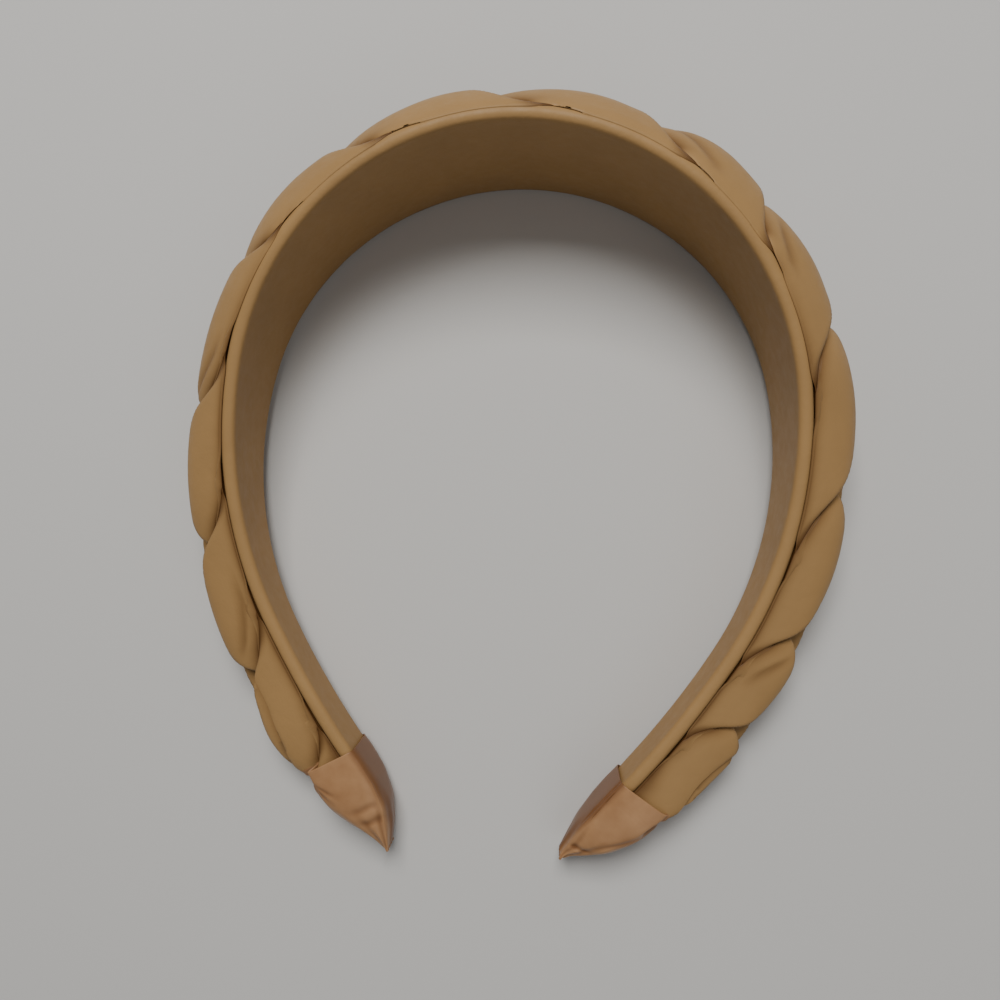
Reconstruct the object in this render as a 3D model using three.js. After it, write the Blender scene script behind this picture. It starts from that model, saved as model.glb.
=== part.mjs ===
// A plaited, padded headband, lying on its side edge as it is put down on a table.
//
// A thin moulded core is bent to the shape of the head and covered in smooth leathercloth. Three
// stuffed leathercloth tubes are plaited over its outer face, their ends are glued to the core, and
// a wrap of satin ribbon closes each tip.
//
// Millimetres, +Z up. +Y points to the crown and the two tips point to -Y.
//
// Every piece is written in band coordinates: s runs along the inner face from the crown's apex
// (0) down the right leg (+) or the left leg (-), n is the height above the inner face, away from
// the head, and z is the height above the band's middle plane.

import * as THREE from "three";

// ---------------------------------------------------------------- driving dimensions

// The inner face, from the apex down one leg: three arcs, each tangent to the next.
const crownRadius = 60.2;
const crownArc = 79; // degrees
const sideRadius = 87.6;
const sideArc = 40.3; // degrees
const legRadius = 217;

// The flat band under the plait.
const crownWidth = 43;
const legWidth = 12.8;
const taperLength = 155; // from the apex to where the leg is straight sided
const coreReach = 192; // from the apex to the end of the core
const coreThickness = 1.5;
const leather = 0.6;
const edgeRoll = 1.1; // leathercloth rolled round the core's edge
const beadDepth = 1.3; // of the rolled edge, measured along the band's width
const beadFlat = 1.6; // flat along the top of the rolled edge
const lipLength = 7; // how far the lining returns over the outer face
const lipGap = 3; // least slot between its two lips
const tipRounding = 9; // length of the rounded end of the core and lining
const tipShare = 0.5; // width left at the very end

// The plait.
const crossingPitch = 27.7; // from one crossing on the upper edge to the next
const leadAngle = 75; // degrees of a strand's swing where it comes down to the edge
const plaitInset = 0.4; // from the plait's edge to the band's edge
const strandShare = 0.17; // strand half width as a share of the plait's width
const strandThicknessCrown = 3.3;
const strandThicknessLeg = 4.1;
const layerShare = 1.26; // swing in height as a share of half the thickness
const layerHold = 2.4; // how firmly a strand stays in its layer between changes
const strandRoll = 0.22; // how far a strand's section leans as it crosses the middle
const layerSkew = 0.1; // how far one edge of a strand changes layer ahead of the other, in radians
// A hand plait is never even. This is how far each crossing lies from its even place, from the
// one at the apex outwards along each leg.
const crossingDriftRight = [0.9, 4.6, -4.0, -2.7, 1.2, 2.5, -5.0];
const crossingDriftLeft = [0.9, -0.9, 0.6, -0.5, 1.3, -3.5];

// The ribbon wraps and the glue that they cover.
const wrapStart = 176; // from the apex to the wrap's open end
const wrapEnd = 200.5; // from the apex to the pinched tip
const strandReach = 182.5; // from the apex to where the strands are cut
const ribbon = 0.5;
const wrapBulge = 1.5; // how far the wrap stands off the band's inner face
const wrapSlack = 0.7; // and off the band's edges
const wrapFullness = 5; // how squared off the wrap is
const tipHeight = 1.6; // the pinched tip, in height
const glueHeight = 7;

// Fits and rest.
const clearance = 0.3;
const stuffingGap = 0.35; // between a strand's cover and its wadding
const pressed = 0.35; // how much of the edge is squeezed flat where it rests

// Mesh steps.
const bandStep = 6.4;
const plaitStep = 5;
const strandSides = 8;
const wrapSides = 20;

// ---------------------------------------------------------------- sizes that follow

const radians = Math.PI / 180;
const bandThickness = coreThickness + 2 * (leather + clearance);
const plaitFloor = bandThickness + clearance;
const coreInset = edgeRoll + clearance; // from the lining's edge to the core's

const strandThickness = (s) =>
  THREE.MathUtils.lerp(
    strandThicknessCrown,
    strandThicknessLeg,
    THREE.MathUtils.smoothstep(Math.abs(s), 0, taperLength),
  );

// Full width of the band at s, without the rounded end.
function bandWidth(s) {
  const along = Math.min(Math.abs(s), taperLength) / taperLength;
  return legWidth + ((crownWidth - legWidth) * (1 + Math.cos(Math.PI * along))) / 2;
}

// Share of the width that is left near the rounded ends.
function roundedEnd(s) {
  const into = THREE.MathUtils.clamp((Math.abs(s) - coreReach + tipRounding) / tipRounding, 0, 1);
  return Math.sqrt(1 - (1 - tipShare ** 2) * into ** 2);
}

// Height of the plait's outer face above the band's inner face.
function plaitTop(s) {
  const half = strandThickness(s) / 2;
  return plaitFloor + 2 * half * (1 + layerShare);
}

// ---------------------------------------------------------------- band coordinates

// The point of the inner face at s, and the outward normal there as an angle from +Y towards +X.
function innerFace(s) {
  const arcs = [
    { radius: crownRadius, turn: crownArc * radians },
    { radius: sideRadius, turn: sideArc * radians },
    { radius: legRadius, turn: Infinity },
  ];
  let left = Math.abs(s);
  let angle = 0;
  let x = 0;
  let y = crownRadius;
  for (const { radius, turn } of arcs) {
    const part = Math.min(left / radius, turn);
    x += radius * (Math.sin(angle + part) - Math.sin(angle));
    y += radius * (Math.cos(angle + part) - Math.cos(angle));
    angle += part;
    left -= part * radius;
    if (left <= 0) break;
  }
  const side = s < 0 ? -1 : 1;
  return { x: side * x, y, angle: side * angle };
}

// Half sizes and middle of a wrap, from its open end (0) to its pinched tip (1).
function wrapSize(along) {
  const closing = Math.sqrt(1 - along ** 2.6);
  const low = -clearance - ribbon - wrapBulge;
  const high = plaitTop(wrapStart) + 2 * clearance + ribbon;
  const fullHeight = legWidth / 2 + clearance + ribbon + wrapSlack;
  return {
    middle: (low + high) / 2 - along,
    halfDepth: ((high - low) / 2 - tipHeight / 2) * closing + tipHeight / 2,
    halfHeight: (fullHeight - tipHeight / 2) * closing + tipHeight / 2,
  };
}

// The band rests on the crown's lower edge and on the outer corner of each wrap, so its middle
// plane leans.
const crownRest = { y: crownRadius + bandThickness / 2, z: -crownWidth / 2 };
const restAlong = 0.4;
const restFace = innerFace(THREE.MathUtils.lerp(wrapStart, wrapEnd, restAlong));
const restSize = wrapSize(restAlong);
const wrapRest = {
  y: restFace.y + (restSize.middle + restSize.halfDepth / 2) * Math.cos(restFace.angle),
  z: -restSize.halfHeight,
};
const lean = Math.atan((wrapRest.z - crownRest.z) / (crownRest.y - wrapRest.y));
const lift = -crownRest.z * Math.cos(lean) - crownRest.y * Math.sin(lean) - pressed;

// Band coordinates to the part's frame. Nothing goes below the table.
function place(s, n, z) {
  const face = innerFace(s);
  const x = face.x + n * Math.sin(face.angle);
  const y = face.y + n * Math.cos(face.angle);
  return new THREE.Vector3(
    x,
    y * Math.cos(lean) - z * Math.sin(lean),
    Math.max(y * Math.sin(lean) + z * Math.cos(lean) + lift, 0),
  );
}

// ---------------------------------------------------------------- solids

// Stations from one end to the other, evenly spaced.
function stations(from, to, step) {
  const count = Math.ceil(Math.abs(to - from) / step);
  return Array.from({ length: count + 1 }, (_, i) => from + ((to - from) * i) / count);
}

// One closed solid through a row of rings, each a list of points in the same order. A row with a
// `section`, the ring's outline in two dimensions, is capped at both ends, and a row without one
// joins its last ring to its first. Each four-sided patch is split along its shorter diagonal, as
// measured on `guide`, so that nested skins with one guide keep an even gap.
function loft(rings, section, guide = rings) {
  const count = rings[0].length;
  const points = rings.flat();
  const guidePoints = guide.flat();
  const looped = !section;
  const faces = [];
  const spans = looped ? rings.length : rings.length - 1;
  for (let i = 0; i < spans; i++) {
    const here = i * count;
    const next = ((i + 1) % rings.length) * count;
    for (let k = 0; k < count; k++) {
      const [a, b] = [here + k, here + ((k + 1) % count)];
      const [c, d] = [next + ((k + 1) % count), next + k];
      const [p, q, r, t] = [a, b, c, d].map((corner) => guidePoints[corner]);
      if (p.distanceTo(r) < q.distanceTo(t)) {
        faces.push([a, b, c], [a, c, d]);
      } else {
        faces.push([a, b, d], [b, c, d]);
      }
    }
  }
  if (!looped) {
    const last = (rings.length - 1) * count;
    for (const [a, b, c] of THREE.ShapeUtils.triangulateShape(section, [])) {
      faces.push([a, c, b], [last + a, last + b, last + c]);
    }
  }
  return closedSolid(points, faces);
}

// A geometry with its faces turned outwards.
function closedSolid(points, faces) {
  let volume = 0;
  for (const [a, b, c] of faces) {
    volume += points[a].dot(new THREE.Vector3().crossVectors(points[b], points[c]));
  }
  const index = faces.flatMap(([a, b, c]) => (volume < 0 ? [a, c, b] : [a, b, c]));
  const geometry = new THREE.BufferGeometry().setFromPoints(points);
  geometry.setIndex(index);
  geometry.computeVertexNormals();
  return geometry;
}

// The counter-clockwise outline of an oval. Fullness 2 is an ellipse, and more squares it off.
function oval(halfWidth, halfHeight, sides, fullness = 2) {
  const bulge = (part) => Math.sign(part) * Math.abs(part) ** (2 / fullness);
  return Array.from({ length: sides }, (_, k) => {
    const turn = (k / sides) * 2 * Math.PI;
    return new THREE.Vector2(
      halfWidth * bulge(Math.cos(turn)),
      halfHeight * bulge(Math.sin(turn)),
    );
  });
}

// ---------------------------------------------------------------- core and lining

// Outline of the core in (n, z).
function coreSection(s) {
  const low = leather + clearance;
  const high = low + coreThickness;
  const half = (bandWidth(s) / 2) * roundedEnd(s + Math.sign(s) * coreInset) - coreInset;
  const chamfer = coreThickness / 3;
  return [
    new THREE.Vector2(low, -half + chamfer),
    new THREE.Vector2(low + chamfer, -half),
    new THREE.Vector2(high - chamfer, -half),
    new THREE.Vector2(high, -half + chamfer),
    new THREE.Vector2(high, half - chamfer),
    new THREE.Vector2(high - chamfer, half),
    new THREE.Vector2(low + chamfer, half),
    new THREE.Vector2(low, half - chamfer),
  ];
}

// Outline of the lining in (n, z): a C that opens under the plait, with rolled edges.
function liningSection(s) {
  const half = (bandWidth(s) / 2) * roundedEnd(s);
  const lip = Math.min(Math.max(half - lipLength, lipGap / 2), (half - beadDepth) * 0.8);
  const inside = half - edgeRoll;
  const shoulder = (bandThickness - beadFlat) / 2;
  const roll = [
    [bandThickness, lip],
    [bandThickness, half - beadDepth],
    [bandThickness - shoulder / 4, half - beadDepth * 0.4],
    [bandThickness - shoulder, half],
    [shoulder, half],
    [shoulder / 4, half - beadDepth * 0.4],
    [0, half - beadDepth],
  ];
  const pocket = [
    [leather, inside],
    [bandThickness - leather, inside],
    [bandThickness - leather, lip],
  ];
  const upper = roll.map(([n, z]) => new THREE.Vector2(n, z));
  const lower = roll.map(([n, z]) => new THREE.Vector2(n, -z)).reverse();
  const upperPocket = pocket.map(([n, z]) => new THREE.Vector2(n, z));
  const lowerPocket = pocket.map(([n, z]) => new THREE.Vector2(n, -z)).reverse();
  return [...upper, ...lower, ...lowerPocket, ...upperPocket];
}

function bandPiece(section, reach) {
  const rings = stations(-reach, reach, bandStep).map((s) =>
    section(s).map((p) => place(s, p.x, p.y)),
  );
  return loft(rings, section(reach));
}

// ---------------------------------------------------------------- plait

// Where crossing k lies on the upper edge.
function crossingPlace(k) {
  const drift = k < 0 ? crossingDriftLeft[-k] : crossingDriftRight[k];
  return k * crossingPitch + (drift ?? 0);
}

// Crossings passed at s, as a smooth count that is whole at each crossing.
function crossingsAt(s) {
  let k = Math.floor(s / crossingPitch) - 2;
  while (crossingPlace(k + 1) <= s) k++;
  const [before, from, to, after] = [-1, 0, 1, 2].map((i) => crossingPlace(k + i));
  const span = to - from;
  const along = (s - from) / span;
  const startSlope = (2 * span) / (to - before);
  const endSlope = (2 * span) / (after - from);
  const ease = along * along * (3 - 2 * along);
  const rise = along * (1 - along) ** 2 * startSlope - along ** 2 * (1 - along) * endSlope;
  return k + ease + rise;
}

// The middle of a strand at s, its heading in the band's face, and how its section leans.
function strandPath(strand, s) {
  const swing = (120 * (crossingsAt(s) + strand) + leadAngle) * radians;
  const plaitHalf = bandWidth(s) / 2 - plaitInset;
  const halfWidth = 2 * strandShare * plaitHalf;
  const reach = plaitHalf - halfWidth;
  const half = strandThickness(s) / 2;
  return {
    swing,
    z: reach * Math.sin(swing),
    slope: (reach * Math.cos(swing) * 2 * Math.PI) / (3 * crossingPitch),
    lean: -Math.atan(strandRoll * Math.cos(swing)),
    halfWidth,
    half,
  };
}

// Height of a strand's middle above the band's inner face, where `across` runs from -1 at its
// lower edge to 1 at its upper edge.
function strandHeight(path, across) {
  const turn = path.swing + layerSkew * across * Math.cos(path.swing);
  const layer = Math.tanh(layerHold * Math.sin(2 * turn)) / Math.tanh(layerHold);
  return plaitFloor + path.half * (1 + layerShare * (1 + layer));
}

// One ring of points round a strand at s, drawn in by `wall` from its outer face.
function strandRing(strand, s, wall) {
  const path = strandPath(strand, s);
  const heading = Math.atan(path.slope);
  return oval(path.halfWidth - wall, path.half - wall, strandSides).map((p) => {
    const across = p.x * Math.cos(path.lean) - p.y * Math.sin(path.lean);
    const up = p.x * Math.sin(path.lean) + p.y * Math.cos(path.lean);
    return place(
      s - across * Math.sin(heading),
      strandHeight(path, p.x / path.halfWidth) + up,
      path.z + across * Math.cos(heading),
    );
  });
}

function strandCover(strand) {
  const along = stations(-strandReach, strandReach, plaitStep);
  const outside = along.map((s) => strandRing(strand, s, 0));
  const inside = along.map((s) => strandRing(strand, s, leather));
  const guide = [...outside, ...outside.toReversed()];
  return loft([...outside, ...inside.reverse()], null, guide);
}

function strandWadding(strand) {
  const reach = strandReach - clearance;
  const wall = leather + stuffingGap;
  const along = stations(-strandReach, strandReach, plaitStep).map((s) =>
    THREE.MathUtils.clamp(s, -reach, reach),
  );
  const rings = along.map((s) => strandRing(strand, s, wall));
  const guide = along.map((s) => strandRing(strand, s, 0));
  return loft(rings, oval(1, 1, strandSides), guide);
}

// ---------------------------------------------------------------- tips

function wrapRing(side, along, wall) {
  const size = wrapSize(along);
  const s = side * THREE.MathUtils.lerp(wrapStart, wrapEnd, along);
  return oval(size.halfDepth - wall, size.halfHeight - wall, wrapSides, wrapFullness).map((p) =>
    place(s, size.middle + p.x, p.y),
  );
}

function tipWrap(side) {
  const outside = [0, 0.18, 0.36, 0.54, 0.7, 0.83, 0.93, 0.985];
  const inside = outside.slice(0, -2);
  const rings = [
    ...inside.reverse().map((along) => wrapRing(side, along, ribbon)),
    ...outside.map((along) => wrapRing(side, along, 0)),
  ];
  return loft(rings, oval(1, 1, wrapSides));
}

// Hot-melt glue that holds the cut strands to the end of the band, inside the wrap.
function endGlue(side) {
  const from = strandReach + clearance + bandStep / 4;
  const to = coreReach - clearance;
  const rings = stations(from, to, bandStep / 3).map((s) => {
    const along = (s - from) / (to - from);
    const halfDepth = THREE.MathUtils.lerp(glueHeight / 2, glueHeight / 4, along ** 2);
    const halfHeight = THREE.MathUtils.lerp(legWidth / 3, legWidth / 5, along ** 2);
    return oval(halfDepth, halfHeight, 10).map((p) =>
      place(side * s, plaitFloor + halfDepth + p.x, p.y),
    );
  });
  return loft(rings, oval(1, 1, 10));
}

// ---------------------------------------------------------------- assembly

const leathercloth = { color: 0x9c7a4d, roughness: 0.5, metalness: 0 };
const satin = { color: 0xa97c55, roughness: 0.4, metalness: 0 };
const plastic = { color: 0xd8d2c4, roughness: 0.5, metalness: 0 };
const wadding = { color: 0xefece4, roughness: 0.95, metalness: 0 };
const glue = { color: 0xe8dcb8, roughness: 0.35, metalness: 0 };

const headband = new THREE.Group();
headband.name = "headband";

function add(name, geometry, finish) {
  const mesh = new THREE.Mesh(geometry, new THREE.MeshStandardMaterial(finish));
  mesh.name = name;
  headband.add(mesh);
}

add("core_band", bandPiece(coreSection, coreReach - coreInset), plastic);
add("lining_cover", bandPiece(liningSection, coreReach), leathercloth);
["a", "b", "c"].forEach((letter, strand) => {
  add(`strand_${letter}_cover`, strandCover(strand), leathercloth);
  add(`strand_${letter}_wadding`, strandWadding(strand), wadding);
});
for (const [name, side] of [["left", -1], ["right", 1]]) {
  add(`${name}_tip_wrap`, tipWrap(side), satin);
  add(`${name}_end_glue`, endGlue(side), glue);
}

// The origin is the middle of the bounding box, on the table.
const box = new THREE.Box3().setFromObject(headband);
headband.position.set(-(box.min.x + box.max.x) / 2, -(box.min.y + box.max.y) / 2, -box.min.z);

export default headband;
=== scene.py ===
"""A plaited headband in padded leathercloth, lying on its side edge.

Every piece is written in band coordinates: s runs along the inner face from the crown's apex (0)
down the right leg (+) or the left leg (-), n is the height above the inner face, away from the
head, and z is the height above the band's middle plane. Sizes are in metres.
"""

import math

import bmesh
import bpy
import numpy as np
from bpy.props import FloatProperty, FloatVectorProperty, PointerProperty
from mathutils import Matrix, Vector


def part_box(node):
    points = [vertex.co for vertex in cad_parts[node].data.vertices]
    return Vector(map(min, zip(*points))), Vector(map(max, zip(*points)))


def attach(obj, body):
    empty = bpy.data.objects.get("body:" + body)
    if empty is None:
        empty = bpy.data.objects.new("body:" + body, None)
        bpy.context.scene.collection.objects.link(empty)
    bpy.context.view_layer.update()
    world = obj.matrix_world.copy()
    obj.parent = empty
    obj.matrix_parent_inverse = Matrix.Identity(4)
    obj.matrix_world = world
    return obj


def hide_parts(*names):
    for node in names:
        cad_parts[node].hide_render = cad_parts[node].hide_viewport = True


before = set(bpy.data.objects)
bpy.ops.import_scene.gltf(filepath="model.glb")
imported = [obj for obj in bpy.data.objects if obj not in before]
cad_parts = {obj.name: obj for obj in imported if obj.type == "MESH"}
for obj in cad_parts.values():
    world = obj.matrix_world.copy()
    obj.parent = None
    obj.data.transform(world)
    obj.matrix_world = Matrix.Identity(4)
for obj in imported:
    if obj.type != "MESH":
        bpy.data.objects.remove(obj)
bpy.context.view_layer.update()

bl_info = {
    "name": "Plaited Headband",
    "version": (1, 0, 0),
    "blender": (4, 5, 0),
    "location": "3D View > Sidebar > Headband",
    "description": "Builds a padded, plaited headband round its solid parts",
    "category": "Add Mesh",
}

# ------------------------------------------------------------------ fixed shape of the band

CROWN_ARC = math.radians(79)
SIDE_ARC = math.radians(40.3)
END_ROUNDING = 0.009  # length of the rounded end of the lining
END_SHARE = 0.5  # width left at the very end
CLEARANCE = 0.0003
CORE_THICKNESS = 0.0015
PRESSED = 0.00035  # how much of the edge is squeezed flat where it rests
TIP_HEIGHT = 0.0016  # a pinched ribbon end, in height
TABLE_GAP = 0.0002  # lowest height of a placed point, before its wall is added
STRAND_GIRTH = 0.04  # round a strand, laid flat
STUFFING_INSET = 0.0011  # from a strand's skin in to its stuffing
RIBBON_FLAT = (0.022, 0.056)  # a ribbon piece laid flat, along the leg and round it

# Where each crossing of the plait lies off its even place, from the apex outwards along each leg.
CROSSING_DRIFT_RIGHT = [0.0062, 0.0083, 0.0025, 0.003, 0.0082, 0.0065, -0.0012]
CROSSING_DRIFT_LEFT = [0.0062, 0.0024, 0.0019, 0.0005, -0.0001, -0.0005, -0.0012]
HASTE_LEFT = 10  # degrees by which a strand gets ahead as it comes down to the edge of a leg
HASTE_RIGHT = 8

# How full the lobes lie along the band, as distance from the apex (left is negative) in metres and
# share of the even height.
FULLNESS = [
    (-0.182, 0.8), (-0.176, 0.92), (-0.167, 1.14), (-0.158, 1.0), (-0.141, 1.0), (-0.12, 0.93),
    (-0.108, 0.94), (-0.088, 0.84), (-0.076, 0.86), (-0.064, 0.86), (-0.05, 1.03), (-0.036, 0.9),
    (-0.016, 1.05), (-0.004, 0.91), (0.012, 1.04), (0.022, 0.92), (0.035, 1.22), (0.05, 1.03),
    (0.061, 1.1), (0.069, 1.0), (0.087, 1.07), (0.102, 0.95), (0.118, 0.99), (0.129, 0.92),
    (0.141, 1.02), (0.153, 0.97), (0.159, 1.07), (0.168, 1.02), (0.177, 1.0), (0.182, 0.85),
]

# Upper edge of a strand over one full swing of 360 degrees, as a share of the plait's half width.
# It comes down to the band's edge at 0, runs along it, and dives under the next strand at 120.
UPPER_EDGE = [
    (0, 0.985), (20, 1.0), (100, 1.0), (122, 0.95), (138, 0.78), (155, 0.5), (180, 0.15),
    (210, -0.05), (235, -0.08), (258, 0.02), (280, 0.22), (305, 0.58), (330, 0.85), (345, 0.94), (360, 0.985),
]

# Creases where a strand gathers, each as the crossing that it follows, its place across the
# strand at its start, the swing in degrees where it starts and ends, and how far it drifts down.
TUCKS = [
    (1, 0.62, -70, 25, -0.2),
    (2, 0.7, -40, 30, -0.1),
    (-3, 0.66, -60, 20, -0.15),
    (-5, 0.8, -50, 40, -0.05),
    (5, 0.7, -50, 20, -0.1),
    (6, 0.2, -60, 90, 0.15),
    (-6, 0.3, -40, 80, 0.1),
]


def linear(hex_colour):
    """The linear RGBA of an sRGB colour such as A58558."""
    channels = [int(hex_colour[i : i + 2], 16) / 255 for i in (0, 2, 4)]
    return (*[c / 12.92 if c <= 0.04045 else ((c + 0.055) / 1.055) ** 2.4 for c in channels], 1)


def ramp(x, start, end):
    """A smooth step from 0 at start to 1 at end."""
    t = np.clip((x - start) / (end - start), 0, 1)
    return t * t * (3 - 2 * t)


# ------------------------------------------------------------------ what a user would change


def length(name, description, default):
    return FloatProperty(name=name, description=description, default=default, unit="LENGTH")


def colour(name, description, hex_colour):
    return FloatVectorProperty(
        name=name, description=description, default=linear(hex_colour), size=4, subtype="COLOR"
    )


class HeadbandSizes(bpy.types.PropertyGroup):
    crown_radius: length("Crown radius", "Of the inner face over the crown", 0.0602)
    side_radius: length("Side radius", "Of the inner face above the ears", 0.0876)
    leg_radius: length("Leg radius", "Of the inner face down to the tips", 0.217)
    crown_width: length("Crown width", "Of the flat band at the apex", 0.043)
    leg_width: length("Leg width", "Of the flat band at the tips", 0.0128)
    taper_length: length("Taper length", "From the apex to where the leg is straight sided", 0.155)
    lining_reach: length("Lining reach", "From the apex to the end of the lining", 0.186)
    leather: length("Leathercloth", "Thickness of the leathercloth", 0.0006)
    lip: length("Lip", "How far the lining returns over the outer face", 0.007)
    crossing_pitch: length("Crossing pitch", "From one crossing of the plait to the next", 0.0277)
    plait_crown: length("Plait at the crown", "Thickness of the plait over the band", 0.008)
    plait_leg: length("Plait on the legs", "Thickness of the plait over the band", 0.0122)
    strand_reach: length("Strand reach", "From the apex to where the strands are cut", 0.1825)
    wrap_start: length("Wrap start", "From the apex to the ribbon's open end", 0.176)
    wrap_end: length("Wrap end", "From the apex to the ribbon's pinched tip", 0.2005)
    ribbon: length("Ribbon", "Thickness of the ribbon", 0.0005)


class HeadbandColours(bpy.types.PropertyGroup):
    leathercloth: colour("Leathercloth", "Camel tan face of the lining and strands", "A27E50")
    satin: colour("Satin", "Copper ribbon round the tips", "A8815B")
    core: colour("Core", "Moulded core", "D8D2C4")
    wadding: colour("Wadding", "Polyester stuffing", "EFECE4")
    glue: colour("Glue", "Hot-melt glue", "E8DCB8")
    floor: colour("Floor", "Plain pale floor", "C8C5C0")


# ------------------------------------------------------------------ band coordinates


class Band:
    """The bent band: its widths, and where its coordinates lie in the frame."""

    def __init__(self, sizes):
        self.sizes = sizes
        self.thickness = CORE_THICKNESS + 2 * (sizes.leather + CLEARANCE)
        crown_y = sizes.crown_radius + self.thickness / 2
        crown_z = -sizes.crown_width / 2
        rest = 0.4  # share of the wrap's length at which it rests
        x, y, angle = self.inner_face(sizes.wrap_start + rest * (sizes.wrap_end - sizes.wrap_start))
        middle, half_depth, half_height = self.wrap_size(rest)
        wrap_y = y + (middle + half_depth / 2) * math.cos(angle)
        self.lean = math.atan((-half_height - crown_z) / (crown_y - wrap_y))
        self.shift = Vector((0, 0, 0))
        self.shift.z = -crown_z * math.cos(self.lean) - crown_y * math.sin(self.lean) - PRESSED
        low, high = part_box("lining_cover")
        corner = self.place(0, self.thickness, -sizes.crown_width / 2 + 0.0013)
        self.shift.x = (low.x + high.x) / 2
        self.shift.y = high.y - corner[1]

    def width(self, s):
        along = np.minimum(np.abs(s), self.sizes.taper_length) / self.sizes.taper_length
        extra = (self.sizes.crown_width - self.sizes.leg_width) * (1 + np.cos(np.pi * along)) / 2
        return self.sizes.leg_width + extra

    def rounded_end(self, s):
        into = (np.abs(s) - self.sizes.lining_reach + END_ROUNDING) / END_ROUNDING
        return np.sqrt(1 - (1 - END_SHARE**2) * np.clip(into, 0, 1) ** 2)

    def inner_face(self, s):
        """x, y and outward angle from +Y of the inner face."""
        left = np.abs(np.asarray(s, float))
        x, y, angle = np.zeros_like(left), np.full_like(left, self.sizes.crown_radius), 0 * left
        arcs = [
            (self.sizes.crown_radius, CROWN_ARC),
            (self.sizes.side_radius, SIDE_ARC),
            (self.sizes.leg_radius, math.pi),
        ]
        for radius, arc in arcs:
            turn = np.minimum(left / radius, arc)
            x = x + radius * (np.sin(angle + turn) - np.sin(angle))
            y = y + radius * (np.cos(angle + turn) - np.cos(angle))
            angle = angle + turn
            left = left - turn * radius
        side = np.where(np.asarray(s) < 0, -1, 1)
        return side * x, y, side * angle

    def wrap_size(self, along):
        """Middle, half depth and half height of a wrap, from its open end (0) to its tip (1)."""
        closing = np.sqrt(1 - np.clip(along, 0, 1) ** 2.6)
        low = -CLEARANCE - self.sizes.ribbon - 0.0015
        high = 0.01287 + 2 * CLEARANCE + self.sizes.ribbon
        full = self.sizes.leg_width / 2 + CLEARANCE + self.sizes.ribbon + 0.0007
        middle = (low + high) / 2 - 0.001 * along
        half_depth = ((high - low) / 2 - TIP_HEIGHT / 2) * closing + TIP_HEIGHT / 2
        return middle, half_depth, (full - TIP_HEIGHT / 2) * closing + TIP_HEIGHT / 2

    def outer_face(self, s, z):
        """Height of the lining's outer face, which rolls down over the band's edges."""
        bead = self.thickness / 2
        beyond = np.clip(np.abs(z) - self.width(s) / 2 + bead, 0, 0.94 * bead)
        return bead + np.sqrt(bead**2 - beyond**2)

    def place(self, s, n, z):
        """Band coordinates to the frame. No point is put lower than the table gap."""
        x, y, angle = self.inner_face(s)
        x = x + n * np.sin(angle)
        y = y + n * np.cos(angle)
        up = y * math.sin(self.lean) + z * math.cos(self.lean) + self.shift.z
        across = y * math.cos(self.lean) - z * math.sin(self.lean) + self.shift.y
        return np.stack(np.broadcast_arrays(x + self.shift.x, across, np.maximum(up, TABLE_GAP)), axis=-1)


# ------------------------------------------------------------------ meshes


def grid_piece(name, rows, columns, place, closed=False):
    """A piece from a flat grid whose points are moved by place(along, across), both from 0 to 1.
    A closed one joins its first column to its last."""
    shape = bmesh.new()
    layer = shape.loops.layers.uv.new("cloth")
    bmesh.ops.create_grid(shape, x_segments=rows, y_segments=columns, size=0.5)
    shape.verts.ensure_lookup_table()
    along = np.array([v.co.x + 0.5 for v in shape.verts])
    across = np.array([v.co.y + 0.5 for v in shape.verts])
    points, flat, extra = place(along, across)
    for face in shape.faces:
        for loop in face.loops:
            loop[layer].uv = flat[loop.vert.index]
    fold = shape.verts.layers.float.new("fold")
    for vert, point, share in zip(shape.verts, points, extra):
        vert.co = point
        vert[fold] = share
    if closed:
        bmesh.ops.remove_doubles(shape, verts=shape.verts, dist=1e-7)
        bmesh.ops.recalc_face_normals(shape, faces=shape.faces)
    mesh = bpy.data.meshes.new(name)
    shape.to_mesh(mesh)
    shape.free()
    mesh.shade_smooth()
    mesh.set_sharp_from_angle(angle=math.radians(75))
    piece = bpy.data.objects.new(name, mesh)
    bpy.context.scene.collection.objects.link(piece)
    return piece


def finish_piece(piece, material, slot, *nodes):
    piece.data.materials.append(material)
    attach(piece, "root")
    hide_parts(*nodes)


# ------------------------------------------------------------------ materials


def add_node(tree, kind, inputs=None, **settings):
    """Adds a node with its settings, and gives each input a value or a link."""
    made = tree.nodes.new(kind)
    for name, value in settings.items():
        setattr(made, name, value)
    for name, value in (inputs or {}).items():
        if isinstance(value, bpy.types.NodeSocket):
            tree.links.new(value, made.inputs[name])
        else:
            made.inputs[name].default_value = value
    return made


def noise(tree, place, scale, detail, **inputs):
    """A noise texture's value, from 0 to 1."""
    values = {"Vector": place, "Scale": scale, "Detail": detail, **inputs}
    return add_node(tree, "ShaderNodeTexNoise", values).outputs["Fac"]


def bump(tree, height, strength, distance, **inputs):
    """A normal roughened by a height."""
    values = {"Height": height, "Strength": strength, "Distance": distance, **inputs}
    return add_node(tree, "ShaderNodeBump", values).outputs["Normal"]


def new_material(name):
    """A named material's tree and its shader, with nothing else in it."""
    material = bpy.data.materials.get(name) or bpy.data.materials.new(name)
    material.use_nodes = True
    tree = material.node_tree
    tree.nodes.clear()
    shader = tree.nodes.new("ShaderNodeBsdfPrincipled")
    output = tree.nodes.new("ShaderNodeOutputMaterial")
    tree.links.new(shader.outputs[0], output.inputs[0])
    return material, tree, shader


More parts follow.
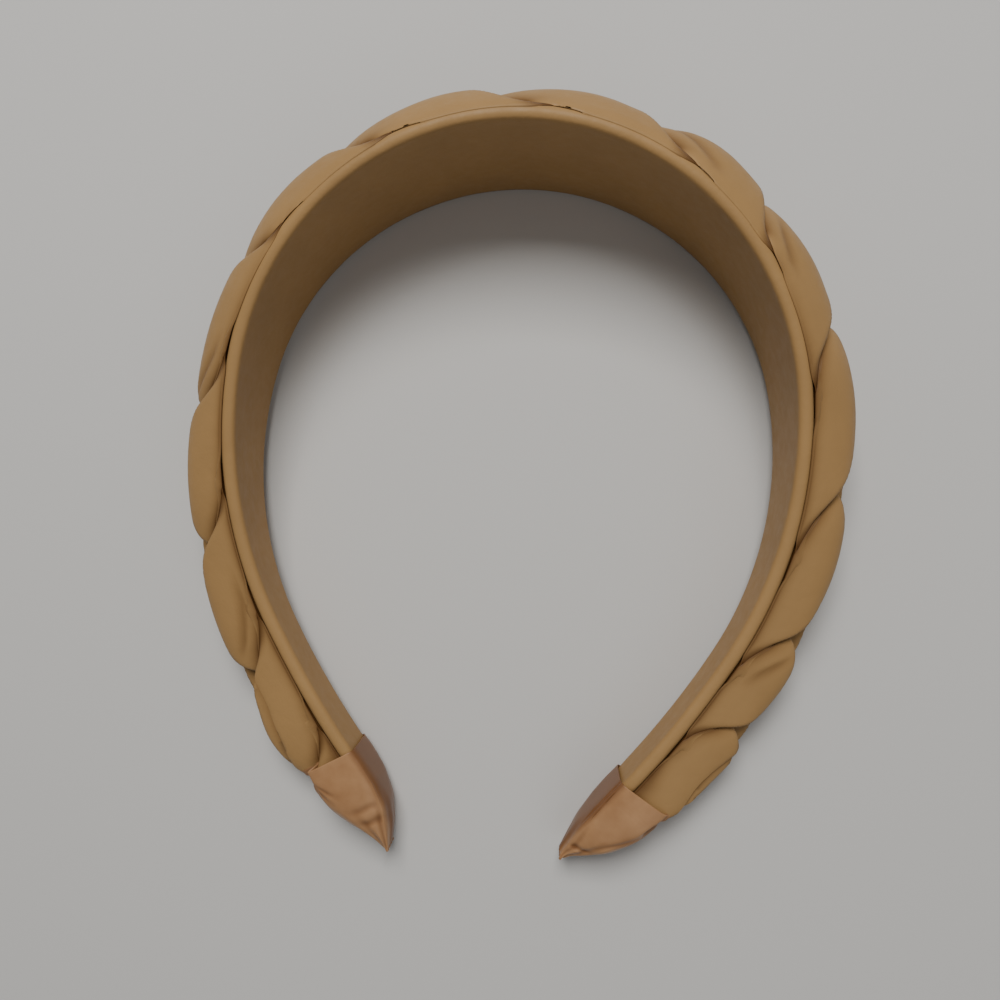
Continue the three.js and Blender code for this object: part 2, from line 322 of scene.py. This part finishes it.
def leathercloth(colours):
    """PU leathercloth: a soft semi-matt skin with a fine pebble, and painted shade down in its folds."""
    material, tree, shader = new_material("embossed_pu_leathercloth")
    place = add_node(tree, "ShaderNodeTexCoord").outputs["Object"]
    patches = noise(tree, place, 70, 3)
    tone = add_node(
        tree, "ShaderNodeMapRange",
        {"Value": patches, "From Min": 0.3, "From Max": 0.7, "To Min": 0.95, "To Max": 1.04},
    )
    face = add_node(
        tree, "ShaderNodeVectorMath",
        {0: colours.leathercloth[:3], "Scale": tone.outputs["Result"]}, operation="SCALE",
    )
    # Painted shade: where the fold attribute is high (in the plait's creases, under a crossing strand, down a
    # strand's sides and in its tucks), the face is mixed towards a deep brown.
    fold = add_node(tree, "ShaderNodeAttribute", attribute_name="fold")
    deep = [c * d for c, d in zip(colours.leathercloth[:3], (0.3, 0.22, 0.15))]
    painted_fold_shade = add_node(
        tree, "ShaderNodeMix",
        {"Factor": fold.outputs["Fac"], "A": face.outputs["Vector"], "B": (*deep, 1)},
        data_type="RGBA",
    )
    # The pebble's cells are about 0.6 mm across.
    pebble = add_node(tree, "ShaderNodeTexVoronoi", {"Vector": place, "Scale": 1600}, feature="SMOOTH_F1")
    creases = noise(tree, place, 420, 4)
    grain = bump(tree, pebble.outputs["Distance"], 0.25, 0.00008)
    skin = bump(tree, creases, 0.3, 0.0003, Normal=grain)
    sheen = add_node(
        tree, "ShaderNodeMapRange",
        {"Value": creases, "From Min": 0.3, "From Max": 0.7, "To Min": 0.42, "To Max": 0.56},
    )
    tree.links.new(painted_fold_shade.outputs["Result"], shader.inputs["Base Color"])
    tree.links.new(sheen.outputs["Result"], shader.inputs["Roughness"])
    tree.links.new(skin, shader.inputs["Normal"])
    shader.inputs["IOR"].default_value = 1.5
    shader.inputs["Specular IOR Level"].default_value = 0.18
    return material


def satin(colours):
    """Woven polyester satin ribbon: long floats along the ribbon give it a soft bright streak."""
    material, tree, shader = new_material("woven_satin_ribbon")
    flat = add_node(tree, "ShaderNodeUVMap", uv_map="cloth").outputs["UV"]
    # Threads are 0.15 mm apart, and drawn 0.45 mm apart so that they show.
    stretched = add_node(tree, "ShaderNodeMapping", {"Vector": flat, "Scale": (2200, 220, 1)})
    floats = noise(tree, stretched.outputs["Vector"], 1, 2)
    place = add_node(tree, "ShaderNodeTexCoord").outputs["Object"]
    patches = noise(tree, place, 170, 3)
    light = [min(1, c * 1.3) for c in colours.satin[:3]]
    deep = [c * d for c, d in zip(colours.satin[:3], (0.72, 0.6, 0.5))]
    tone = add_node(
        tree, "ShaderNodeMix", {"Factor": patches, "A": (*deep, 1), "B": (*light, 1)},
        data_type="RGBA",
    )
    # Painted shade: the ribbon is darkened in its creases and down its inner and outer sides, by the fold
    # attribute.
    fold = add_node(tree, "ShaderNodeAttribute", attribute_name="fold")
    shade = [c * d for c, d in zip(colours.satin[:3], (0.36, 0.24, 0.16))]
    painted_side_and_crease_shade = add_node(
        tree, "ShaderNodeMix",
        {"Factor": fold.outputs["Fac"], "A": tone.outputs["Result"], "B": (*shade, 1)},
        data_type="RGBA",
    )
    weave = bump(tree, floats, 0.25, 0.0001)
    tree.links.new(painted_side_and_crease_shade.outputs["Result"], shader.inputs["Base Color"])
    tree.links.new(weave, shader.inputs["Normal"])
    shader.inputs["Roughness"].default_value = 0.38
    shader.inputs["Anisotropic"].default_value = 0.5
    shader.inputs["Specular IOR Level"].default_value = 0.25
    return material


def moulded_core(colours):
    """Moulded polypropylene: an even, slightly waxy off-white with faint flow marks."""
    material, tree, shader = new_material("moulded_polypropylene")
    place = add_node(tree, "ShaderNodeTexCoord").outputs["Object"]
    flow = noise(tree, place, 120, 3)
    skin = bump(tree, flow, 0.1, 0.0001)
    tree.links.new(skin, shader.inputs["Normal"])
    shader.inputs["Base Color"].default_value = colours.core
    shader.inputs["Roughness"].default_value = 0.45
    shader.inputs["IOR"].default_value = 1.49
    return material


def polyester_wadding(colours):
    """Carded polyester wadding: a matt white mat of fine crimped fibres."""
    material, tree, shader = new_material("carded_polyester_wadding")
    place = add_node(tree, "ShaderNodeTexCoord").outputs["Object"]
    crimp = noise(tree, place, 900, 6, Distortion=1.5)
    mat = bump(tree, crimp, 0.7, 0.0004)
    tree.links.new(mat, shader.inputs["Normal"])
    shader.inputs["Base Color"].default_value = colours.wadding
    shader.inputs["Roughness"].default_value = 0.95
    shader.inputs["Sheen Weight"].default_value = 0.3
    return material


def hot_melt_glue(colours):
    """Hot-melt glue: a cloudy amber blob with a smooth, faintly rippled skin."""
    material, tree, shader = new_material("set_hot_melt_glue")
    place = add_node(tree, "ShaderNodeTexCoord").outputs["Object"]
    ripple = noise(tree, place, 260, 1)
    skin = bump(tree, ripple, 0.3, 0.0003)
    tree.links.new(skin, shader.inputs["Normal"])
    shader.inputs["Base Color"].default_value = colours.glue
    shader.inputs["Roughness"].default_value = 0.3
    shader.inputs["Subsurface Weight"].default_value = 0.3
    shader.inputs["Subsurface Radius"].default_value = (0.002, 0.0015, 0.001)
    return material


def pale_floor(colours):
    """Matt painted board under the headband, with a trace of unevenness."""
    material, tree, shader = new_material("matt_painted_board")
    place = add_node(tree, "ShaderNodeTexCoord").outputs["Object"]
    specks = noise(tree, place, 300, 4)
    skin = bump(tree, specks, 0.1, 0.0002)
    tree.links.new(skin, shader.inputs["Normal"])
    shader.inputs["Base Color"].default_value = colours.floor
    shader.inputs["Roughness"].default_value = 0.85
    return material


# ------------------------------------------------------------------ lining


class HEADBAND_OT_lining(bpy.types.Operator):
    """Smooth lining with a rolled edge round the moulded core"""

    bl_idname = "headband.lining"
    bl_label = "Lining"

    def execute(self, context):
        sizes = context.scene.headband_sizes
        band = Band(sizes)
        bead = band.thickness / 2
        roll = math.pi * bead

        def place(along, across):
            s = (2 * along - 1) * sizes.lining_reach
            half = band.width(s) / 2 * band.rounded_end(s)
            lip = np.minimum(sizes.lip, half - bead - 0.001)
            flat = 2 * (half - bead)
            # Up the section: lip, roll, inner face, roll, lip.
            path = across * (2 * lip + 2 * roll + flat)
            turn_up = np.clip((path - lip) / bead, 0, 3.1415)
            turn_down = np.clip((path - lip - roll - flat) / bead, 0, 3.1415)
            face = np.clip(path - lip - roll, 0, flat)
            # The roll turns tighter into the inner face than into the lip.
            rise_up = np.sin(turn_up) ** np.where(turn_up > np.pi / 2, 0.6, 1)
            rise_down = np.sin(turn_down) ** np.where(turn_down < np.pi / 2, 0.6, 1)
            z = bead + lip - half - np.minimum(path, lip) - bead * rise_up + face
            z = z + bead * rise_down - np.clip(path - lip - 2 * roll - flat, 0, lip)
            n = bead * (1 + np.cos(turn_up)) + bead * (1 - np.cos(turn_down))
            return band.place(s, n, z), np.stack([s, path], axis=-1), 0 * s

        piece = grid_piece("leather_lining", 360, 90, place)
        wall = piece.modifiers.new("leathercloth", "SOLIDIFY")
        wall.thickness = sizes.leather
        wall.offset = -1
        finish_piece(piece, leathercloth(context.scene.headband_colours), "leathercloth", "lining_cover")
        return {"FINISHED"}


# ------------------------------------------------------------------ plait


class Plait:
    """Three soft tubes plaited over the band's outer face. Each one lies over the strand that
    leads it by a third of a swing, and under the strand that follows it."""

    LEADS = 1  # the strand that this one lies over
    FOLLOWS = 2  # the strand that lies over this one

    def __init__(self, band):
        self.band = band
        self.sizes = band.sizes
        degrees, shares = zip(*UPPER_EDGE)
        fine = np.interp(np.arange(360), degrees, shares)
        window = np.hanning(25)
        wrapped = np.concatenate([fine, fine, fine])
        self.upper_edge = np.convolve(wrapped, window / window.sum(), "same")[360:720]
        ks = np.arange(-9, 10)
        drift = [self.drift(k) for k in ks]
        self.crossings = ks * self.sizes.crossing_pitch + np.array(drift)
        self.counts = ks

    @staticmethod
    def drift(k):
        drifts = CROSSING_DRIFT_LEFT if k < 0 else CROSSING_DRIFT_RIGHT
        return drifts[abs(k)] if abs(k) < len(drifts) else 0

    def phase(self, strand, s):
        """Degrees of a strand's swing, 0 where it comes down to the band's upper edge."""
        i = np.clip(np.searchsorted(self.crossings, s, side="right") - 1, 1, len(self.counts) - 3)
        before, start, end, after = (self.crossings[i + k] for k in (-1, 0, 1, 2))
        span = end - start
        along = (s - start) / span
        ease = along * along * (3 - 2 * along)
        rise = along * (1 - along) ** 2 * 2 * span / (end - before)
        rise = rise - along**2 * (1 - along) * 2 * span / (after - start)
        swing = 120 * (self.counts[i] + ease + rise)
        haste = HASTE_LEFT * ramp(-s, 0.03, 0.08) + HASTE_RIGHT * ramp(s, 0.03, 0.08)
        return swing - haste * (1 - np.cos(np.radians(3 * swing))) / 2 + 120 * strand

    def edge_share(self, phase):
        turned = np.mod(phase, 360)
        return np.interp(turned, np.arange(361), np.append(self.upper_edge, self.upper_edge[0]))

    def half_width(self, s):
        inset = 0.0001 + 0.0003 * ramp(np.abs(s), 0.03, 0.14)
        return self.band.width(s) / 2 - inset

    def edges(self, strand, s):
        """Lower and upper edge of a strand, in z."""
        phase = self.phase(strand, s)
        half = self.half_width(s)
        return -half * self.edge_share(phase + 180), half * self.edge_share(phase)

    def across(self, strand, s, z):
        """-1 at a strand's lower edge and 1 at its upper edge."""
        low, high = self.edges(strand, s)
        return (2 * z - low - high) / (high - low)

    @staticmethod
    def pillow(across):
        return np.clip(1 - np.abs(across) ** 3.2, 0, 1) ** 0.5

    def top(self, s, z):
        """Height of the plait's outer face, which rolls over into the band's edges."""
        half = self.half_width(s)
        rise = self.sizes.plait_crown + (self.sizes.plait_leg - self.sizes.plait_crown) * ramp(
            np.abs(s), 0, self.sizes.taper_length
        )
        rise = rise * soft_path(s, FULLNESS, 0.004)
        shoulder = np.minimum(0.016, 0.9 * half)
        inward = np.clip((half - np.abs(z)) / shoulder, 0, 1)
        edge = 0.16 + 0.55 * ramp(np.abs(s), 0.168, 0.18)
        return rise * (edge + (1 - edge) * (1 - (1 - inward) ** 2.5))

    def covered(self, strand, s, z):
        """How far a strand is pressed down by the one that lies over it, from 0 to 1."""
        above = (strand + self.FOLLOWS) % 3
        low, high = self.edges(above, s)
        margin = 0.0033 * self.half_width(s) / 0.021 + 0.0012
        outside = np.maximum(low - z, z - high)
        return 1 - ramp(outside, -0.0002, margin)

    def surfaces(self, strand, s, z):
        """Bottom and top of a strand above the band's floor, and how deep in a fold it lies, which sets its
        painted shade.
        """
        top = self.top(s, z)
        pressed = 0.46
        below = (strand + self.LEADS) % 3
        under = pressed * top * self.pillow(self.across(below, s, z))
        covered = self.covered(strand, s, z)
        target = np.maximum(top * (1 - (1 - pressed) * covered), under)
        across = self.across(strand, s, z)
        pillow = self.pillow(across)
        tuck = self.tucks(strand, s, across) * (1 - covered)
        half = self.half_width(s)
        at_edge = ramp(np.abs(z), half - 0.003, half - 0.001) * (1 - ramp(np.abs(s), 0.045, 0.085))
        side = (1 - np.minimum(pillow * 1.5, 1)) * (1 - at_edge)
        opening = self.opening(s, z)
        on_leg = ramp(np.abs(s), 0.04, 0.1)
        sharpness = 1.2 + 0.5 * on_leg - 0.6 * opening
        # fold is painted shade in the leathercloth: darkest where the strand passes under the next one, down
        # its sides and in its tucks.
        fold = np.maximum(np.maximum(covered, side) ** sharpness, 0.5 * tuck)
        lift = (0.0004 + 0.0008 * on_leg) * opening
        over = under + (target - under) * pillow * (1 - 0.2 * tuck)
        lift = np.minimum(lift, 0.5 * (over - under) + 0.0004)
        return under + lift, np.maximum(over, under + lift), fold

    def opening(self, s, z):
        """From 0 to 1, how far a strand's edge stands off the band beside a crossing."""
        from_crossing = np.mod(self.phase(0, s) + 60, 120) - 60
        half = self.half_width(s)
        return np.exp(-(((from_crossing - 4) / 14) ** 2)) * ramp(np.abs(z), half - 0.0022, half - 0.0004)

    def tucks(self, strand, s, across):
        """Narrow creases where a strand gathers as it comes down to the band's edge."""
        phase = self.phase(strand, s)
        crossing = np.round(phase / 360) * 3 - strand
        turned = phase - 360 * np.round(phase / 360)
        deep = 0 * s
        for k, share, start, end, drop in TUCKS:
            line = share - drop * ramp(turned, start, end)
            there = np.exp(-(((across - line) / 0.08) ** 2)) * (crossing == k)
            lasting = ramp(turned, start, start + 25) * (1 - ramp(turned, end - 35, end))
            deep = np.maximum(deep, there * lasting)
        return deep

    def height(self, s, z):
        """Height of the whole plait above the inner face."""
        reach = 0.85 * self.half_width(s)
        z = np.clip(z, -reach, reach)
        height = 0 * s
        for strand in range(3):
            inside = np.abs(self.across(strand, s, z)) < 1
            height = np.maximum(height, np.where(inside, self.surfaces(strand, s, z)[1], 0))
        return self.band.outer_face(s, z) + height

    def section(self, strand, along, around, inset=0.0):
        """Points, flat cloth coordinates and fold depth of a strand's skin, or of a skin drawn in
        from it by about inset metres, and by twice that at the strand's edges."""
        reach = self.sizes.strand_reach - 2 * inset
        s = (2 * along - 1) * reach
        turn = 2 * np.pi * around
        low, high = self.edges(strand, s)
        shrink = 1 - 2 * inset / ((high - low) / 2)
        across = np.cos(turn) * shrink
        z = (low + high) / 2 + across * (high - low) / 2
        under, over, fold = self.surfaces(strand, s, z)
        on_leg = ramp(np.abs(s), 0.05, 0.1)
        rim = 0.0004 * on_leg
        upper = np.sin(turn) >= 0
        n = np.where(upper, over + rim * (1 - self.pillow(across)), under + rim * (1 - self.pillow(across)))
        middle = (over + under) / 2
        n = np.where(upper, np.maximum(n - inset, middle), np.minimum(n + inset, middle))
        cloth = np.stack([s, STRAND_GIRTH * around], axis=-1)
        floor = self.band.outer_face(s, z) + CLEARANCE * (0.9 * on_leg - 0.3)
        return self.band.place(s, floor + n, z), cloth, fold


class HEADBAND_OT_strands(bpy.types.Operator):
    """Three stuffed leathercloth tubes, plaited over the band"""

    bl_idname = "headband.strands"
    bl_label = "Plaited strands"

    def execute(self, context):
        sizes = context.scene.headband_sizes
        colours = context.scene.headband_colours
        plait = Plait(Band(sizes))
        skin = leathercloth(colours)
        stuffing = polyester_wadding(colours)
        for strand, letter in enumerate("abc"):
            cover = grid_piece(
                f"padded_strand_{letter}", 600, 72,
                lambda along, around: plait.section(strand, along, around), closed=True,
            )
            wall = cover.modifiers.new("leathercloth", "SOLIDIFY")
            wall.thickness = sizes.leather / 2
            wall.offset = -1
            wall.thickness_clamp = 1
            finish_piece(cover, skin, "leathercloth", f"strand_{letter}_cover")
            filling = grid_piece(
                f"strand_{letter}_stuffing", 600, 36,
                lambda along, around: plait.section(strand, along, around, STUFFING_INSET), closed=True,
            )
            finish_piece(filling, stuffing, "wadding", f"strand_{letter}_wadding")
        return {"FINISHED"}


# ------------------------------------------------------------------ ribbon wraps

# A wrap's inner and outer faces (n) and half height (z), as a share of its length from its open
# end. A crease runs from one (along, around) point to another, with its depth and width.
WRAPS = {
    -1: {
        "offset": 0.0005,
        "length": 0.0241,
        "slant": -0.0009,
        "inner": [(0, -0.0007), (0.15, -0.0008), (0.4, -0.0004), (0.65, 0.001), (0.85, 0.0042), (1, 0.0082)],
        "outer": [(0, 0.0137), (0.15, 0.0138), (0.4, 0.0132), (0.65, 0.0115), (0.85, 0.0098), (1, 0.009)],
        "half_height": [(0, 0.007), (0.3, 0.0069), (0.6, 0.0062), (0.85, 0.0047), (1, 0.0032)],
        "creases": [
            ((0.0, 0.1), (0.35, 0.17), 0.0004, 0.035),
            ((0.04, 0.04), (0.5, 0.11), 0.0004, 0.035),
            ((0.1, 0.15), (0.32, 0.22), 0.0003, 0.03),
            ((0.5, 0.2), (0.6, 0.33), 0.0003, 0.05),
            ((0.64, 0.17), (0.74, 0.36), 0.0004, 0.05),
            ((0.15, 0.37), (0.95, 0.33), -0.0004, 0.04),
            ((0.1, 0.62), (0.7, 0.8), 0.0005, 0.05),
        ],
    },
    1: {
        "offset": 0.0033,
        "length": 0.0238,
        "slant": -0.0008,
        "inner": [(0, -0.0007), (0.15, -0.0008), (0.4, -0.0006), (0.65, 0.0), (0.85, 0.0014), (1, 0.0028)],
        "outer": [
            (0, 0.0134), (0.15, 0.0133), (0.4, 0.0121), (0.65, 0.01), (0.84, 0.0066),
            (0.92, 0.005), (1, 0.0045),
        ],
        "half_height": [
            (0, 0.007), (0.3, 0.0069), (0.6, 0.0061), (0.85, 0.0038), (0.93, 0.0022),
            (1, 0.0026),
        ],
        "creases": [
            ((0.0, 0.43), (0.55, 0.41), 0.0006, 0.025),
            ((0.0, 0.38), (0.6, 0.36), 0.0004, 0.02),
            ((0.25, 0.12), (0.7, 0.22), 0.0003, 0.05),
            ((0.72, 0.16), (0.84, 0.38), 0.0005, 0.04),
            ((0.1, 0.65), (0.7, 0.85), 0.0005, 0.05),
        ],
    },
}


class HEADBAND_OT_wraps(bpy.types.Operator):
    """Satin ribbon wrapped round each tip and pinched to a point"""

    bl_idname = "headband.wraps"
    bl_label = "Ribbon wraps"

    def execute(self, context):
        sizes = context.scene.headband_sizes
        plait = Plait(Band(sizes))
        material = satin(context.scene.headband_colours)
        for name, side in (("left", -1), ("right", 1)):
            piece = grid_piece(
                f"{name}_ribbon_wrap", 90, 120,
                lambda along, around: wrap_place(plait, side, along, around), closed=True,
            )
            wall = piece.modifiers.new("ribbon", "SOLIDIFY")
            wall.thickness = sizes.ribbon / 2
            wall.offset = -1
            finish_piece(piece, material, "satin_ribbon", f"{name}_tip_wrap")
        return {"FINISHED"}


def soft_path(x, path, softness):
    """A value along a path of (x, value) points, with its corners rounded off."""
    at, values = zip(*path)
    spread = np.linspace(-softness, softness, 9)
    return np.mean([np.interp(x + step, at, values) for step in spread], axis=0)


def wrap_place(plait, side, along, around):
    """Points, flat cloth coordinates and fold depth of a wrap, which also carries painted shade down its
    sides. Its open end hugs the plait, and its tip is pressed flat."""
    sizes = plait.sizes
    wrap = WRAPS[side]
    turn = 2 * np.pi * around
    low = soft_path(along, wrap["inner"], 0.05)
    high = soft_path(along, wrap["outer"], 0.05)
    half_height = soft_path(along, wrap["half_height"], 0.05)
    middle, half_depth = (low + high) / 2, (high - low) / 2 * (1 - 0.9 * ramp(along, 0.955, 1))
    c, d = np.cos(turn), np.sin(turn)
    square = np.where(c < 0, 7, 3.4)
    fullness = square + (1.7 - square) * ramp(along, 0.15, 0.95)
    outward = np.sign(c) * np.abs(c) ** (2 / fullness)
    upward = np.sign(d) * np.abs(d) ** (2 / fullness)
    crease = 0 * along
    for start, end, depth, width in wrap["creases"]:
        run = np.array(end) - np.array(start)
        t = ((along - start[0]) * run[0] + (around - start[1]) * run[1]) / (run @ run)
        t = np.clip(t, 0, 1)
        away = np.hypot(along - start[0] - t * run[0], 2.3 * (around - start[1] - t * run[1]))
        crease = crease + depth * np.exp(-((away / width) ** 2)) * np.sin(np.pi * np.clip(t, 0.08, 0.92))
    gather = 0.0002 * ramp(along, 0.35, 0.85) * np.cos(9 * turn + 6 * along) - crease
    n = middle + (half_depth + gather * 0.7) * outward
    z = half_height * upward + gather * d
    slant = wrap["slant"] * outward * (1 - along)
    s = side * (sizes.wrap_start + wrap["offset"] + slant + along * (wrap["length"] - slant))
    hug = ramp(outward, 0.6, 0.95) * (1 - ramp(along, 0.05, 0.35))
    n = n + hug * np.minimum(plait.height(s, z) + 0.0006 - n, 0)
    # Painted shade: darker down the wrap's inner side and, less, its outer side; the fold value also darkens
    # its creases.
    shaded = 0.8 * ramp(-outward, 0.7, 0.96) + 0.4 * ramp(outward, 0.7, 1)
    fold = np.maximum(np.clip(-gather / 0.0005, 0, 1) * 0.8, shaded)
    cloth = np.stack([along * RIBBON_FLAT[0], around * RIBBON_FLAT[1]], axis=-1)
    return plait.band.place(s, n, z), cloth, fold


# ------------------------------------------------------------------ carried-over solids


class HEADBAND_OT_solids(bpy.types.Operator):
    """Finishes of the moulded core and the glue, which keep their own shapes"""

    bl_idname = "headband.solids"
    bl_label = "Core and glue"

    def execute(self, context):
        colours = context.scene.headband_colours
        finishes = {
            "core_band": moulded_core(colours),
            "left_end_glue": hot_melt_glue(colours),
            "right_end_glue": hot_melt_glue(colours),
        }
        for node, material in finishes.items():
            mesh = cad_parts[node].data
            mesh.materials.clear()
            mesh.materials.append(material)
        return {"FINISHED"}


# ------------------------------------------------------------------ stage


def aim(thing, target, up):
    """Turns a camera or light at the origin's -Z towards a point, with up at the top."""
    back = (thing.location - Vector(target)).normalized()
    right = Vector(up).cross(back).normalized()
    turned = back.cross(right)
    matrix = np.array([right, turned, back]).T
    thing.rotation_mode = "QUATERNION"
    thing.rotation_quaternion = Matrix(matrix.tolist()).to_quaternion()


class HEADBAND_OT_stage(bpy.types.Operator):
    """Floor, soft lights and camera"""

    bl_idname = "headband.stage"
    bl_label = "Stage"

    def execute(self, context):
        scene = context.scene
        shape = bmesh.new()
        bmesh.ops.create_grid(shape, x_segments=2, y_segments=2, size=4)
        mesh = bpy.data.meshes.new("floor")
        shape.to_mesh(mesh)
        shape.free()
        floor = bpy.data.objects.new("floor", mesh)
        floor.data.materials.append(pale_floor(scene.headband_colours))
        scene.collection.objects.link(floor)

        world = bpy.data.worlds.new("studio")
        world.use_nodes = True
        world.node_tree.nodes["Background"].inputs["Color"].default_value = linear("DDE2E8")
        world.node_tree.nodes["Background"].inputs["Strength"].default_value = 0.2
        scene.world = world
        for name, place, size, power in (
            ("overhead", (-0.08, 0.42, 0.78), 0.42, 7.4),
            ("fill", (0.3, -0.5, 0.6), 0.6, 0.8),
        ):
            light = bpy.data.lights.new(name, "AREA")
            light.size = size
            light.energy = power
            lamp = bpy.data.objects.new(name, light)
            lamp.location = place
            aim(lamp, (0, 0, 0), (0, 1, 0.01))
            scene.collection.objects.link(lamp)

        lens = bpy.data.cameras.new("camera")
        lens.lens = 30
        lens.sensor_width = 36
        lens.clip_start = 0.01
        camera = bpy.data.objects.new("camera", lens)
        camera.location = (0.0105, -0.0151, 0.2031)
        aim(camera, (-0.0028, -0.0029, 0), (-0.0663, 0.9957, 0.0645))
        scene.collection.objects.link(camera)
        scene.camera = camera
        return {"FINISHED"}


# ------------------------------------------------------------------ add-on

OPERATORS = (
    HEADBAND_OT_stage,
    HEADBAND_OT_lining,
    HEADBAND_OT_strands,
    HEADBAND_OT_wraps,
    HEADBAND_OT_solids,
)


class HEADBAND_PT_panel(bpy.types.Panel):
    """Sizes, colours and steps of the headband"""

    bl_idname = "HEADBAND_PT_panel"
    bl_label = "Headband"
    bl_space_type = "VIEW_3D"
    bl_region_type = "UI"
    bl_category = "Headband"

    def draw(self, context):
        for group in (context.scene.headband_sizes, context.scene.headband_colours):
            box = self.layout.box()
            for name in group.bl_rna.properties.keys():
                if name not in {"rna_type", "name"}:
                    box.prop(group, name)
        for operator in OPERATORS:
            self.layout.operator(operator.bl_idname)


CLASSES = (HeadbandSizes, HeadbandColours, *OPERATORS, HEADBAND_PT_panel)


def register():
    for cls in CLASSES:
        bpy.utils.register_class(cls)
    bpy.types.Scene.headband_sizes = PointerProperty(type=HeadbandSizes)
    bpy.types.Scene.headband_colours = PointerProperty(type=HeadbandColours)


def unregister():
    del bpy.types.Scene.headband_colours
    del bpy.types.Scene.headband_sizes
    for cls in reversed(CLASSES):
        bpy.utils.unregister_class(cls)


def main():
    register()
    bpy.ops.headband.stage()
    bpy.ops.headband.lining()
    bpy.ops.headband.strands()
    bpy.ops.headband.wraps()
    bpy.ops.headband.solids()


if __name__ == "__main__":
    main()
